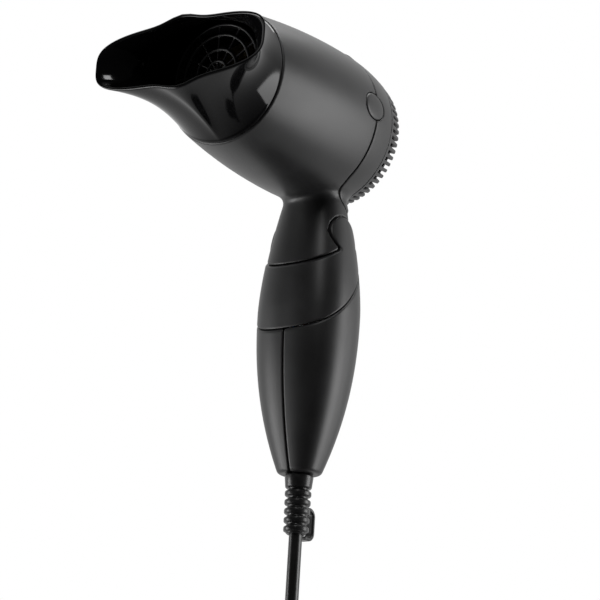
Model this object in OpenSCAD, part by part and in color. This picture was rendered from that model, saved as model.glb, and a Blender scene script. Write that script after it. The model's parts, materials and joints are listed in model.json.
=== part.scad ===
// Folding travel hair dryer: a round barrel on a hinged grip, with a wide pull-off air concentrator.
// +Z runs up the grip, the nozzle faces -Y and +X is the dryer's left side. The origin is the middle of the grip.

/* [Barrel] */
// Height of the barrel's axis above the middle of the grip
axis_z = 105; // [95:1:130]
// Outer radius at the nozzle joint
front_r = 30.8; // [29:0.1:37]
// Largest outer radius
barrel_r = 35.9; // [33:0.1:44]
// Outer radius at the rear face
rear_r = 31.2; // [28:0.1:36]
// Distance from the grip's axis forward to the nozzle joint
front_reach = 73; // [68:1:88]
// Distance from the grip's axis back to the rear face
rear_reach = 19.2; // [18:0.1:22]
// Wall of every moulded shell
wall = 2; // [1.6:0.1:2.6]

/* [Nozzle] */
// Length of the concentrator ahead of the joint
nozzle_len = 34.5; // [25:0.5:45]
// Width of the concentrator's mouth
mouth_w = 92.5; // [70:0.5:100]
// Height of the mouth beside its middle
mouth_h = 27.8; // [18:0.2:32]
// How far the middle of the mouth swells above and below
mouth_bulge = 3.2; // [0:0.1:4]
// Wall of the concentrator
nozzle_wall = 1.6; // [1.2:0.1:2.2]
// Length of the spigot that plugs into the barrel
spigot_len = 9; // [6:0.5:11]

/* [Handle] */
// Widest half-width of the grip
grip_half_w = 23.1; // [20:0.1:28]
// Depth of the grip as a share of its width
grip_depth = 0.82; // [0.75:0.01:0.95]
// Distance from the middle of the grip down to its end
grip_drop = 57.5; // [50:0.5:70]

/* [Hinge] */
// Height of the hinge above the middle of the grip
pivot_z = 51.3; // [49:0.1:55]
// Radius of the two hinge lobes
lobe_r = 8.9; // [8:0.1:10]
// Half-width of the slot between the lobes
slot_half = 12.5; // [10:0.1:13]
// Radius of the two hinge pins
pin_r = 2.5; // [1.8:0.1:3]
// Gap along the joint between the head and the grip
hinge_gap = 0.4; // [0.3:0.05:0.8]

/* [Switch] */
// Travel of the slide switch
switch_travel = 10; // [6:0.5:12]
// Width of the slide knob
knob_w = 13; // [10:0.5:16]

/* [Cord] */
// Diameter of the mains lead
cord_d = 6; // [5:0.1:7]
// Length of the strain relief below the grip
relief_len = 27; // [20:0.5:35]
// Turns of cord in the hank
hank_turns = 6; // [4:1:8]

/* [Hidden] */

$fn = 64;
slack = 0.05;          // radial clearance of a running fit
pivot_y = -0.5;        // the hinge sits just ahead of the grip's axis
seam_y = -6;           // joint between the front and the rear housing
grille_y = 8.5;        // joint between the rear housing and the grille
belly_y = -15;         // station of the barrel's largest radius
sides = 32;            // corners in each section of the grip and the neck
squareness = 2.5;      // exponent of the grip's section, 2 is an ellipse

// Half-width of the grip and the neck at height z
widest_z = 16;
function half_w(z) = z < widest_z
    ? grip_half_w - 0.583 * grip_half_w * pow((widest_z - z) / (widest_z + grip_drop), 2.2)
    : grip_half_w - 0.32 * grip_half_w * pow((z - widest_z) / (pivot_z + 14.7 - widest_z), 1.6);
function half_x(z) = half_w(z);
function half_y(z) = grip_depth * half_w(z);

// Outer radius of the barrel at station y
function barrel_at(y) = y < belly_y
    ? barrel_r - (barrel_r - front_r) * pow((belly_y - y) / (belly_y + front_reach), 2)
    : barrel_r - (barrel_r - rear_r) * pow((y - belly_y) / (rear_reach - belly_y), 2.4);

// A point on a squared ellipse
function squared(a, b, n, t) = [
    a * sign(cos(t)) * pow(abs(cos(t)), 2 / n),
    b * sign(sin(t)) * pow(abs(sin(t)), 2 / n)];

function steps(from, to, count) = [for (i = [0:count]) from + (to - from) * i / count];

// Closed solid through rings of points; every ring runs anticlockwise seen from the last ring
module skin(rings) {
    n = len(rings[0]);
    last = len(rings) - 1;
    points = [for (r = rings) for (p = r) p];
    side = [for (k = [0:last - 1]) for (i = [0:n - 1])
        let (a = k * n + i, b = k * n + (i + 1) % n, c = a + n, d = b + n)
        each [[a, c, d], [a, d, b]]];
    low_end = [for (i = [0:n - 1]) i];
    high_end = [for (i = [0:n - 1]) last * n + n - 1 - i];
    polyhedron(points = points, faces = concat(side, [low_end, high_end]));
}

// Tube of constant radius along a route; the rings keep the X axis as their reference
function unit(v) = v / norm(v);
function route_dir(p, i) = unit(p[min(i + 1, len(p) - 1)] - p[max(i - 1, 0)]);
module swept_tube(p, r, n, ref = [1, 0, 0]) {
    skin([for (i = [0:len(p) - 1])
        let (d = route_dir(p, i), u = unit(ref - d * (ref * d)), v = cross(d, u))
        [for (k = [0:n - 1]) p[i] + r * (cos(360 * k / n) * u + sin(360 * k / n) * v)]]);
}

// The grip's and the neck's outside, pulled in by an offset
module grip_form(z_low, z_high, inset, count) {
    skin([for (z = steps(z_low, z_high, count))
        [for (i = [0:sides - 1])
            let (p = squared(half_x(z) - inset, half_y(z) - inset, squareness, 360 * i / sides))
            [p[0], p[1], z]]]);
}

// Places children on the barrel's axis: their Z runs towards the rear
module on_axis() {
    translate([0, 0, axis_z])
        rotate([-90, 0, 0])
            children();
}

// Turns round surfaces so that their seam line stays clear of ribs, bosses and recesses
seam_turn = 15;

// Ring about the barrel's axis from station y0 to y1
module tube_y(y0, y1, r_in, r_out) {
    on_axis()
        rotate([0, 0, seam_turn])
            translate([0, 0, y0])
                difference() {
                    cylinder(h = y1 - y0, r = r_out);
                    if (r_in > 0)
                        translate([0, 0, -1])
                            cylinder(h = y1 - y0 + 2, r = r_in);
                }
}

// Solid of revolution with the barrel's profile, pulled in by an offset
module barrel_form(y0, y1, inset, count = 10) {
    on_axis()
        rotate([0, 0, seam_turn])
            rotate_extrude($fn = 96)
                polygon(concat(
                    [[0, y0]],
                    [for (y = steps(y0, y1, count)) [barrel_at(y) - inset, y]],
                    [[0, y1]]));
}

// Cylinder along X about the hinge, from x0 to x1
module about_hinge(r, x0, x1) {
    translate([x0, pivot_y, pivot_z])
        rotate([0, 90, 0])
            cylinder(h = x1 - x0, r = r);
}

// Both mirror images of a piece
module both_sides() {
    for (m = [0, 1])
        mirror([m, 0, 0])
            children();
}

// The joint line that runs down the front of the grip, as a wedge of everything above it
joint_front = [-17.4, pivot_z - 16.4];
joint_side = [-5.0, pivot_z - 8.0];
cheek_front = -9.8;      // front edge of the cheeks
far = 60;
module above_joint(gap) {
    rise = (joint_side[1] - joint_front[1]) / (joint_side[0] - joint_front[0]);
    translate([-far, 0, gap])
        rotate([90, 0, 90])
            linear_extrude(2 * far)
                polygon([
                    [-far, joint_front[1] + rise * (-far - joint_front[0])],
                    joint_side,
                    [cheek_front, pivot_z],
                    [cheek_front, far + pivot_z],
                    [-far, far + pivot_z]]);
}

// The front of the neck reaches back over the lobes as far as the hinge
module over_lobes() {
    translate([-far, 0, hinge_gap])
        rotate([90, 0, 90])
            linear_extrude(2 * far)
                polygon([
                    [cheek_front - 2, pivot_z],
                    [cheek_front, pivot_z],
                    [pivot_y, neck_top],
                    [pivot_y, far + pivot_z],
                    [cheek_front - 2, far + pivot_z]]);
}

// Large round cut that parts the collar from the two grip halves
collar_arc_r = 88;
collar_arc_y = -67.7;
collar_arc_z = pivot_z + 26.6;
module collar_side(gap) {
    translate([-far, collar_arc_y, collar_arc_z])
        rotate([0, 90, 0])
            cylinder(h = 2 * far, r = collar_arc_r - gap, $fn = 128);
}

// Room that the neck's back needs between the lobes while the head folds
neck_top = pivot_z + lobe_r + hinge_gap;
neck_swing_r = 20.5;
module swing_room() {
    intersection() {
        about_hinge(neck_swing_r, -slot_half, slot_half);
        translate([-far, pivot_y, pivot_z - neck_swing_r])
            cube([2 * far, far, 2 * neck_swing_r]);
    }
}

/* ---- handle ---- */
shell_gap = 0.15;        // half of the gap between two shells of the grip

module grip_hollow() {
    grip_form(-grip_drop + wall + 2, neck_top + 8, wall, 14);
}

module handle_collar() {
    color("dimgray")
    difference() {
        union() {
            intersection() {
                difference() {
                    grip_form(0, pivot_z + lobe_r, 0, 12);
                    grip_hollow();
                    above_joint(0);
                    swing_room();
                }
                collar_side(shell_gap);
                union() {
                    translate([-far, -far, 0])
                        cube([2 * far, 2 * far, pivot_z - 4]);
                    about_hinge(lobe_r, -far, far);
                }
            }
            intersection() {
                both_sides()
                    about_hinge(lobe_r, slot_half, far);
                grip_form(pivot_z - lobe_r - 1, pivot_z + lobe_r + 1, 0, 6);
            }
        }
        translate([-slot_half, -far, pivot_z - lobe_r - 1])
            cube([2 * slot_half, far + pivot_y, 2 * far]);
        about_hinge(pin_r, -far, far);
    }
}

knob_z = 2;              // lower end of the knob at rest, switch off
knob_h = 15;
stem_w = 3;
module switch_window() {
    translate([-stem_w / 2 - 0.5, 0, knob_z + knob_h / 2 - stem_w / 2 - 0.5])
        cube([stem_w + 1, far, stem_w + 1 + switch_travel]);
}

screw_places = [[6, -30], [0, 12]];   // depth and height of each screw
module handle_half(side) {
    difference() {
        intersection() {
            grip_form(-grip_drop, pivot_z + lobe_r, 0, 16);
            translate([side > 0 ? shell_gap : -far, -far, -grip_drop])
                cube([far - shell_gap, 2 * far, pivot_z - 4 + grip_drop]);
        }
        grip_hollow();
        collar_side(-shell_gap);
        swing_room();
        above_joint(0);
        switch_window();
        translate([0, 0, -grip_drop - 1])
            cylinder(h = wall + 5, r = relief_neck_r);
    }
}

module screw_posts(side) {
    for (p = screw_places)
        translate([0, p[0], p[1]])
            rotate([0, 90 * side, 0])
                difference() {
                    translate([0, 0, shell_gap])
                        cylinder(h = half_x(p[1]) - wall + 0.7 - p[0] / 4, r = 2.8);
                    translate([0, 0, -1])
                        cylinder(h = far, r = 1.3);
                }
}

module handle_left_shell() {
    color([0.18, 0.18, 0.19])
        union() {
            handle_half(1);
            screw_posts(1);
        }
}

module handle_right_shell() {
    color([0.2, 0.2, 0.21])
        union() {
            difference() {
                handle_half(-1);
                for (p = screw_places)
                    translate([-half_x(p[1]) - 1, p[0], p[1]])
                        rotate([0, 90, 0])
                            cylinder(h = wall + 3, r = 2.2);
            }
            difference() {
                screw_posts(-1);
                for (p = screw_places)
                    translate([-half_x(p[1]) - 1, p[0], p[1]])
                        rotate([0, 90, 0])
                            cylinder(h = half_x(p[1]) - 6, r = 2.2);
            }
        }
}

module handle_screws() {
    color("silver")
        for (p = screw_places)
            translate([0, p[0], p[1]])
                rotate([0, 90, 0]) {
                    translate([0, 0, -7])
                        cylinder(h = 14, r = 1.3);
                    translate([0, 0, -9])
                        cylinder(h = 2, r = 2.1);
                }
}

module hinge_pins() {
    color("silver")
        both_sides()
            about_hinge(pin_r, slot_half - 4, half_x(pivot_z + lobe_r) + 0.6);
}

/* ---- switch ---- */
switch_top = knob_z + knob_h / 2 + switch_travel + 4;
function skin_y(z) = half_y(z) - wall;
switch_depth = 8;
switch_y = skin_y(switch_top) - 0.6;

module switch_body() {
    color("black")
        difference() {
            translate([-7, switch_y - switch_depth, knob_z - 1])
                cube([14, switch_depth, switch_top - knob_z + 4]);
            translate([-stem_w / 2 - 0.4, switch_y - 5, knob_z + knob_h / 2 - stem_w / 2 - 0.4])
                cube([stem_w + 0.8, 6, stem_w + 0.8 + switch_travel]);
        }
}

module switch_contacts() {
    color("goldenrod")
        for (i = [-1:1])
            translate([4 * i - 1, switch_y - switch_depth - 4, knob_z + 8])
                cube([2, 4, 0.8]);
}

module switch_knob() {
    stem_z = knob_z + knob_h / 2 - stem_w / 2;
    pad_y = half_y(widest_z) + 0.3;
    color([0.12, 0.12, 0.13])
        union() {
            translate([0, pad_y, knob_z])
                linear_extrude(knob_h)
                    polygon([[-knob_w / 2, 0], [knob_w / 2, 0], [knob_w / 2 - 1.2, 1.6], [-knob_w / 2 + 1.2, 1.6]]);
            for (i = [0:4])
                translate([-knob_w / 2 + 2, pad_y + 1.2, knob_z + 2 + 2.6 * i])
                    cube([knob_w - 4, 1.1, 1]);
            translate([-stem_w / 2, switch_y - 4, stem_z])
                cube([stem_w, pad_y + 0.5 - switch_y + 4, stem_w]);
        }
}

/* ---- cord end of the handle ---- */
relief_collar_r = 6.1;
relief_neck_r = 4.6;
relief_rib_r = 5.45;
relief_collar_h = 6.4;
relief_pitch = 4;
cord_bore_r = cord_d / 2 + 0.1;
relief_low = -grip_drop - relief_len;

module strain_relief() {
    ribs = floor((relief_len - relief_collar_h) / relief_pitch);
    color([0.1, 0.1, 0.1])
        difference() {
            union() {
                translate([0, 0, -grip_drop + wall + 5])
                    cylinder(h = 3, r = 7);
                translate([0, 0, -grip_drop - 0.2])
                    cylinder(h = wall + 5.4, r = relief_neck_r - 0.05);
                translate([0, 0, -grip_drop - relief_collar_h])
                    cylinder(h = relief_collar_h - 0.2, r1 = relief_collar_r - 0.5, r2 = relief_collar_r);
                translate([0, 0, relief_low])
                    cylinder(h = relief_len - relief_collar_h + 0.1, r = relief_neck_r);
                for (i = [0:ribs - 1])
                    translate([0, 0, -grip_drop - relief_collar_h - relief_pitch * (i + 1) + 0.4])
                        cylinder(h = relief_pitch * 0.6, r = relief_rib_r - 0.08 * i);
            }
            translate([0, 0, relief_low - 1])
                cylinder(h = relief_len + 20, r = cord_bore_r);
        }
}

loop_w = 5;
loop_reach = 11.4;
loop_h = 15;
loop_strap = 1.6;
module hang_loop() {
    rr = 3.6;
    loop_top = -grip_drop - 13.5;
    module outline(inset) {
        r = rr - inset;
        translate([0, loop_top - rr])
            square([loop_reach - rr, r]);
        translate([0, loop_top - loop_h + inset])
            square([loop_reach - rr, loop_h - rr - inset]);
        translate([0, loop_top - loop_h + rr])
            square([loop_reach - inset, loop_h - 2 * rr]);
        for (z = [loop_top - rr, loop_top - loop_h + rr])
            translate([loop_reach - rr, z])
                circle(r = r);
    }
    color("black")
        difference() {
            rotate([90, 0, 90])
                translate([0, 0, -loop_w / 2])
                    linear_extrude(loop_w)
                        difference() {
                            outline(0);
                            outline(loop_strap);
                        }
            translate([0, 0, -grip_drop - far])
                cylinder(h = 2 * far, r = relief_rib_r + 0.02);
        }
}

module cord_clamp() {
    color("dimgray")
        difference() {
            translate([-9, -6, -grip_drop + 14])
                cube([18, 12, 5]);
            translate([0, 0, -grip_drop])
                cylinder(h = 30, r = cord_d / 2);
        }
}

// Wires inside the grip, from the lead's end past the switch to the hinge
wire_r = 1.1;
lead_top = -grip_drop + 20;
module grip_wire(x) {
    route = [
        [x / 2, -1, lead_top], [x, -3, lead_top + 8], [x, -5, lead_top + 22],
        [x, -6, 0], [x, -6, 14], [x, -5, 28], [x, -3, 38], [x, -2.5, pivot_z - lobe_r - 1.5]];
    swept_tube(route, wire_r, 8);
}
module handle_wire_live() {
    color("saddlebrown")
        grip_wire(3);
}
module handle_wire_neutral() {
    color("steelblue")
        grip_wire(-3);
}

// The lead hangs straight down from the relief into the outer run of the hank
hank_top = -128;
hank_h = 144;
hank_w = 48;
run_top = hank_top - hank_w / 2;
run_low = hank_top - hank_h + hank_w / 2;
lead_route = [
    [0, 0, lead_top], [0, 0, -50], [0, 0, -64], [0, 0, -76], [0, 0, -88],
    [0, 0, -100], [0, 0, -112], [0, 0, -124], [0, 0, -138], [0, 0, run_top]];
module cord_lead() {
    color([0.08, 0.08, 0.08])
        swept_tube(lead_route, cord_d / 2, 8);
}

// The hank: turns of cord stacked towards the front, a diameter apart
hank_x = -hank_w / 2 + cord_d / 2;
hank_pitch = cord_d + 0.2;
hank_depth = hank_turns * hank_pitch;
module hank_outline(grow) {
    r = hank_w / 2 + grow;
    for (z = [run_top, run_low])
        translate([hank_x, z])
            circle(r = r);
    translate([hank_x - r, run_low])
        square([2 * r, run_top - run_low]);
}
module cord_hank() {
    color([0.08, 0.08, 0.08])
        translate([0, cord_d / 2, 0])
            rotate([90, 0, 0])
                linear_extrude(hank_depth)
                    hank_outline(0);
}

module cord_tie() {
    tie_z = hank_top - hank_h / 2 - 6;
    tie_t = 1.5;
    color("dimgray")
        difference() {
            translate([hank_x - hank_w / 2 - tie_t, cord_d / 2 - hank_depth - tie_t, tie_z])
                cube([hank_w + 2 * tie_t, hank_depth + 2 * tie_t, 12]);
            translate([hank_x - hank_w / 2, cord_d / 2 - hank_depth, tie_z - 1])
                cube([hank_w, hank_depth, 14]);
        }
}

// The last run leaves the hank downwards, into a flat two-pin plug
plug_y = cord_d / 2 + hank_pitch / 2 - hank_depth;
plug_top = hank_top - hank_h - 4;
tail_route = [[0, plug_y, plug_top], [0, plug_y, -266], [0, plug_y, -256], [0, plug_y, run_low]];
module cord_tail() {
    color([0.08, 0.08, 0.08])
        swept_tube(tail_route, cord_d / 2, 8);
}

plug_len = 35;
plug_pin_r = 2;
plug_pin_gap = 19;
plug_pin_len = 19;
module plug_body() {
    color([0.1, 0.1, 0.1])
        translate([0, plug_y, 0])
            union() {
                translate([0, 0, plug_top - 14])
                    cylinder(h = 14, r1 = 5.5, r2 = 4);
                for (x = [-6, 6])
                    translate([x, 0, plug_top - plug_len])
                        cylinder(h = 22, r = 6.5);
                translate([-6, -6.5, plug_top - plug_len])
                    cube([12, 13, 24]);
                translate([-12.5, -6.5, plug_top - plug_len])
                    cube([25, 13, 8]);
            }
}
module plug_pins() {
    color("silver")
        for (x = [-plug_pin_gap / 2, plug_pin_gap / 2])
            translate([x, plug_y, plug_top - plug_len - plug_pin_len])
                cylinder(h = plug_pin_len, r = plug_pin_r);
}

/* ---- head: housings ---- */
bore_r = front_r - wall - 0.1;
collar_back = -front_reach + spigot_len + 4;
neck_low = joint_front[1];
neck_inset = 0.5;        // the neck's sides lie this far inside the grip's

// The neck in front of the lobes, and its narrow back part between them
module neck_form(inset) {
    difference() {
        grip_form(neck_low, axis_z - barrel_r + 12, inset, 8);
        // everything below the joint with the grip
        difference() {
            translate([-far, -far, 0])
                cube([2 * far, 2 * far, neck_top]);
            translate([0, -hinge_gap, 0]) {
                above_joint(hinge_gap);
                over_lobes();
            }
            translate([-slot_half + hinge_gap, -far, pivot_z - lobe_r + 0.5])
                cube([2 * (slot_half - hinge_gap), far + seam_y, 2 * far]);
        }
        both_sides()
            about_hinge(lobe_r + hinge_gap, slot_half - hinge_gap, far);
        // the back of the neck passes between the lobes
        both_sides()
            translate([slot_half - hinge_gap, pivot_y + 5, 0])
                cube([far, far, pivot_z + 14.3]);
        drum_form(0.15);
    }
}

module head_outside() {
    barrel_form(-front_reach, grille_y, 0, 16);
    neck_form(neck_inset);
}

module head_hollow() {
    barrel_form(collar_back, grille_y + 1, wall, 14);
    tube_y(-front_reach - 1, collar_back + 1, 0, bore_r);
    intersection() {
        neck_form(wall);
        translate([-far, -far, neck_top - 1])
            cube([2 * far, 2 * far, far]);
    }
}

cap_y = -7.8;
cap_z = axis_z + 3.2;
cap_long = 7.4;
cap_high = 6.1;
module cap_form(grow, from, to) {
    translate([from, cap_y, cap_z])
        rotate([90, 0, 90])
            linear_extrude(to - from)
                polygon([for (t = [5:10:355]) squared(cap_long + grow, cap_high + grow, 2, t)]);
}

module cap_recesses() {
    both_sides()
        cap_form(0.3, barrel_r - 2.6, barrel_r + 5);
}

housing_screw_angles = [30, 150, 270];
boss_r = 3.1;
screw_inset = 2.8;       // distance from the housing's inner wall to each screw's axis
module housing_screw_places() {
    for (a = housing_screw_angles)
        on_axis()
            rotate([0, 0, a])
                translate([barrel_at(seam_y) - wall - screw_inset, 0, 0])
                    children();
}

module front_housing() {
    color([0.16, 0.16, 0.17])
        difference() {
            union() {
                intersection() {
                    difference() {
                        head_outside();
                        head_hollow();
                    }
                    union() {
                        translate([-far, -2 * far, 0])
                            cube([2 * far, 2 * far + seam_y, 3 * far]);
                        translate([-far, -2 * far, 0])
                            cube([2 * far, 4 * far, neck_top - 1]);
                    }
                }
                housing_screw_places()
                    translate([0, 0, seam_y - 12])
                        cylinder(h = 11.7, r = boss_r);
            }
            cap_recesses();
            housing_screw_places()
                translate([0, 0, seam_y - 10])
                    cylinder(h = 12, r = 1.2);
        }
}

module rear_housing() {
    color([0.19, 0.19, 0.2])
        difference() {
            union() {
                intersection() {
                    difference() {
                        head_outside();
                        head_hollow();
                    }
                    translate([-far, seam_y + 0.1, neck_top - 0.9])
                        cube([2 * far, 2 * far, 3 * far]);
                }
                housing_screw_places()
                    translate([0, 0, seam_y + 0.1])
                        difference() {
                            cylinder(h = 5, r = boss_r);
                            translate([0, 0, -1])
                                cylinder(h = 8, r = 1.3);
                        }
            }
            cap_recesses();
            pad_form(-0.6, 0.1);
            barrel_form(grille_y, rear_reach + 1, -0.2);
        }
}

module housing_screws() {
    color("silver")
        housing_screw_places()
            translate([0, 0, seam_y - 9]) {
                cylinder(h = 14.2, r = 1.2);
                translate([0, 0, 14.1])
                    cylinder(h = 1.6, r = 1.9);
            }
}

module side_cap_left() {
    color([0.22, 0.22, 0.23])
        intersection() {
            cap_form(0, barrel_r - 2.6, barrel_r + 5);
            barrel_form(cap_y - 12, cap_y + 12, -0.15);
        }
}
module side_cap_right() {
    color([0.22, 0.22, 0.23])
        mirror([1, 0, 0])
            intersection() {
                cap_form(0, barrel_r - 2.6, barrel_r + 5);
                barrel_form(cap_y - 12, cap_y + 12, -0.15);
            }
}

// Raised pad on top of the rear housing
pad_angle = 28;
pad_end = 7.5;
module pad_form(bottom, grow) {
    intersection() {
        difference() {
            barrel_form(seam_y - 1, pad_end + 1, -1);
            barrel_form(seam_y - 2, pad_end + 2, -bottom);
        }
        translate([0, seam_y + 0.6 - grow, axis_z])
            rotate([-90, 0, 0])
                linear_extrude(pad_end - seam_y - 0.6 + 2 * grow)
                    polygon([
                        [0, 0],
                        [far * sin(pad_angle + grow), -far * cos(pad_angle + grow)],
                        [-far * sin(pad_angle + grow), -far * cos(pad_angle + grow)]]);
    }
}
module top_pad() {
    color([0.14, 0.14, 0.15])
        pad_form(-0.5, 0);
}

rib_count = 62;
slot_w = 1.5;
module rear_grille() {
    color([0.13, 0.13, 0.14])
        difference() {
            barrel_form(grille_y + 0.1, rear_reach, 0);
            barrel_form(grille_y - 1, rear_reach - 2.2, 1.8);
            for (i = [0:rib_count - 1])
                on_axis()
                    rotate([0, 0, 360 * (i + 0.5) / rib_count])
                        translate([19, -slot_w / 2, grille_y + 2.2])
                            cube([far, slot_w, far]);
        }
}

module inlet_filter() {
    color("gray")
        difference() {
            tube_y(rear_reach - 3.4, rear_reach - 2.6, 0, barrel_at(rear_reach - 3.4) - 2.2);
            on_axis()
                for (i = [0:5])
                    rotate([0, 0, 60 * i])
                        translate([9, -3, 0])
                            cube([14, 6, 2 * far]);
        }
}

/* ---- head: outlet and heater ---- */
grille_front = collar_back - 2.2;
cage_y = -front_reach - 7.5;    // the cage stands out ahead of the joint, inside the nozzle
cage_r = bore_r - 6;
module outlet_grille() {
    color([0.1, 0.1, 0.1])
        union() {
            tube_y(grille_front, grille_front + 2, cage_r - 1.2, bore_r);
            tube_y(cage_y, grille_front + 1, cage_r - 1.2, cage_r);
            for (r = [5.2, 10.6, 17.4])
                tube_y(cage_y, cage_y + 1.6, r - 0.6, r + 0.6);
            tube_y(cage_y, cage_y + 1.6, 0.8, 2.2);
            for (i = [0:11])
                on_axis()
                    rotate([0, 0, 30 * i])
                        translate([1.6, -0.5, cage_y + 0.3])
                            cube([cage_r - 2.2, 1, 1.2]);
        }
}

heater_r = bore_r - 3.2;
heater_front = grille_front + 2;
heater_back = -14;
board_t = 0.8;
coil_r = heater_r - 4.6;
module heater_sleeve() {
    color("burlywood")
        tube_y(heater_front, heater_back, heater_r - 0.6, heater_r);
}

// One mica board; the slot lets the other board cross it
module heater_board(slot_from, slot_to) {
    length = heater_back - heater_front;
    difference() {
        union() {
            translate([-coil_r + 0.9, -board_t / 2, 0])
                cube([2 * coil_r - 1.8, board_t, length]);
            for (z = [0, length - 4])
                translate([-heater_r + 0.7, -board_t / 2, z])
                    cube([2 * heater_r - 1.4, board_t, 4]);
        }
        translate([-board_t / 2 - 0.1, -1, slot_from * length - 0.1])
            cube([board_t + 0.2, 2, (slot_to - slot_from) * length + 0.2]);
    }
}
module heater_board_upright() {
    color("tan")
        on_axis()
            translate([0, 0, heater_front])
                rotate([0, 0, 90])
                    heater_board(0, 0.5);
}
module heater_board_flat() {
    color("tan")
        on_axis()
            translate([0, 0, heater_front])
                heater_board(0.5, 1);
}

coil_turns = 7;
coil_wire_r = 0.6;
module heater_coil() {
    length = heater_back - heater_front - 14;
    per_turn = 18;
    color("silver")
        on_axis()
            skin([for (i = [0:coil_turns * per_turn])
                let (t = 360 * i / per_turn, z = heater_front + 7 + length * i / (coil_turns * per_turn))
                [for (k = [0:5])
                    let (q = -60 * k, r = coil_r + coil_wire_r * cos(q))
                    [r * cos(t), r * sin(t), z + coil_wire_r * sin(q)]]]);
}

module thermostat() {
    color("silver")
        on_axis()
            translate([2, board_t / 2, heater_back - 12])
                cube([8, 3, 8]);
}
module thermal_fuse() {
    color("white")
        on_axis()
            translate([-6, board_t / 2, heater_back - 12])
                cube([3, 2.4, 10]);
}

/* ---- head: motor and fan ---- */
motor_r = 11.8;
motor_front = -12;
motor_back = 5.5;
shaft_r = 1;
module motor_mount() {
    ring_r = barrel_at(-12) - wall - 0.4;
    color("dimgray")
        union() {
            tube_y(-12, -6.2, ring_r - 7.8, ring_r - 6.2);
            tube_y(-12, -6.2, motor_r, motor_r + 1.4);
            for (i = [0:5])
                on_axis()
                    rotate([0, 0, 60 * i])
                        translate([motor_r + 1, -0.8, -12])
                            cube([ring_r - 7.8 - motor_r, 1.6, 5.8]);
            for (i = [0:3])
                on_axis()
                    rotate([0, 0, 45 + 90 * i])
                        translate([ring_r - 7, -2, -11.5])
                            cube([7, 4, 4.8]);
        }
}
module motor() {
    color("silver")
        difference() {
            tube_y(motor_front, motor_back, 0, motor_r);
            tube_y(motor_front + 4, motor_back + 1, 0, shaft_r + slack);
        }
}
module motor_board() {
    color("darkgreen")
        tube_y(motor_front - 1.4, motor_front, 0, motor_r - 1.5);
}

fan_y = 6.6;
fan_r = 25;
fan_hub_r = 7;
module motor_shaft() {
    color("lightgray")
        tube_y(motor_front + 5, fan_y + 6, 0, shaft_r);
}
module fan() {
    blades = 7;
    color("gainsboro")
        difference() {
            union() {
                tube_y(fan_y, fan_y + 5.5, 0, fan_hub_r);
                for (i = [0:blades - 1])
                    on_axis()
                        rotate([0, 0, 360 * i / blades])
                            translate([fan_hub_r - 0.6, 0, fan_y + 2.75])
                                rotate([28, 0, 0])
                                    translate([0, -5, -0.6])
                                        cube([fan_r - fan_hub_r, 10, 1.2]);
            }
            tube_y(fan_y - 1, fan_y + 7, 0, shaft_r);
        }
}

/* ---- head: hinge ---- */
drum_r = lobe_r - 0.6;
drum_wire_r = 6;
drum_half = slot_half - hinge_gap;
module drum_form(grow) {
    about_hinge(drum_r + grow, -drum_half - grow, drum_half + grow);
    translate([-drum_half + 1.4 - grow, pivot_y - 5.5 - grow, pivot_z])
        cube([2 * (drum_half - 1.4 + grow), 11 + 2 * grow, neck_top - pivot_z + 1.5 + grow]);
}
module hinge_drum() {
    color("gray")
        difference() {
            drum_form(0);
            about_hinge(drum_wire_r, -drum_half + 4.5, drum_half - 4.5);
            translate([-5, pivot_y - 4, pivot_z - 20])
                cube([10, 8, 60]);
            about_hinge(pin_r + slack, -far, far);
        }
}

module detent_spring() {
    color("lightsteelblue")
        translate([-4.5, pivot_y + 3.5, pivot_z + 6.6])
            cube([9, 0.5, 3.5]);
}

module head_wire(x) {
    route = [[x, -2, 60], [x, -2.5, 66], [x, -4, 70], [x, -8, 73], [x, -14, 74.5]];
    lift = axis_z - 105;
    swept_tube([for (p = route) [p[0], p[1], p[2] + (p[2] > 66 ? lift : 0)]], wire_r, 8);
}
module head_wire_live() {
    color("saddlebrown")
        head_wire(2.6);
}
module head_wire_neutral() {
    color("steelblue")
        head_wire(-2.6);
}

/* ---- nozzle ---- */
spigot_r = bore_r - 0.7;
ring_y = -front_reach + 3;
ring_w = 2.5;
module nozzle_snap_ring() {
    color("silver")
        tube_y(ring_y, ring_y + ring_w, spigot_r - 0.6 + slack, bore_r - slack);
}

// A point of the nozzle's outside; s runs from the joint, 0, to the mouth, 1
nozzle_sides = 48;
function mouth_point(t, inset) =
    let (p = squared(mouth_w / 2 - inset, mouth_h / 2 - inset, 3.4, t))
    [p[0], p[1] + sin(t) * mouth_bulge * exp(-pow(p[0] / 10, 2))];
function nozzle_ring_points(s, inset) = [for (i = [0:nozzle_sides - 1])
    let (
        t = 360 * i / nozzle_sides,
        m = mouth_point(t, inset),
        r = front_r - 0.3 - inset,
        wide = pow(s, 3.4),
        flat = pow(s, 0.85))
    [r * cos(t) * (1 - wide) + m[0] * wide,
        -front_reach - 0.3 - s * (nozzle_len - 0.3),
        axis_z + r * sin(t) * (1 - flat) + m[1] * flat]];
module nozzle_form(inset, from, to) {
    skin([for (s = steps(from, to, 13)) nozzle_ring_points(s, inset)]);
}
module concentrator() {
    color([0.05, 0.05, 0.06])
        difference() {
            union() {
                nozzle_form(0, 0, 1);
                tube_y(-front_reach - 0.4, -front_reach + spigot_len, 0, spigot_r);
            }
            nozzle_form(nozzle_wall, 2 / nozzle_len, 1.02);
            tube_y(-front_reach - 4, -front_reach + spigot_len + 1, 0, spigot_r - 1.8);
            on_axis()
                translate([0, 0, ring_y - slack])
                    difference() {
                        cylinder(h = ring_w + 2 * slack, r = spigot_r + 1);
                        translate([0, 0, -1])
                            cylinder(h = ring_w + 3, r = spigot_r - 0.6);
                    }
        }
}

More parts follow.
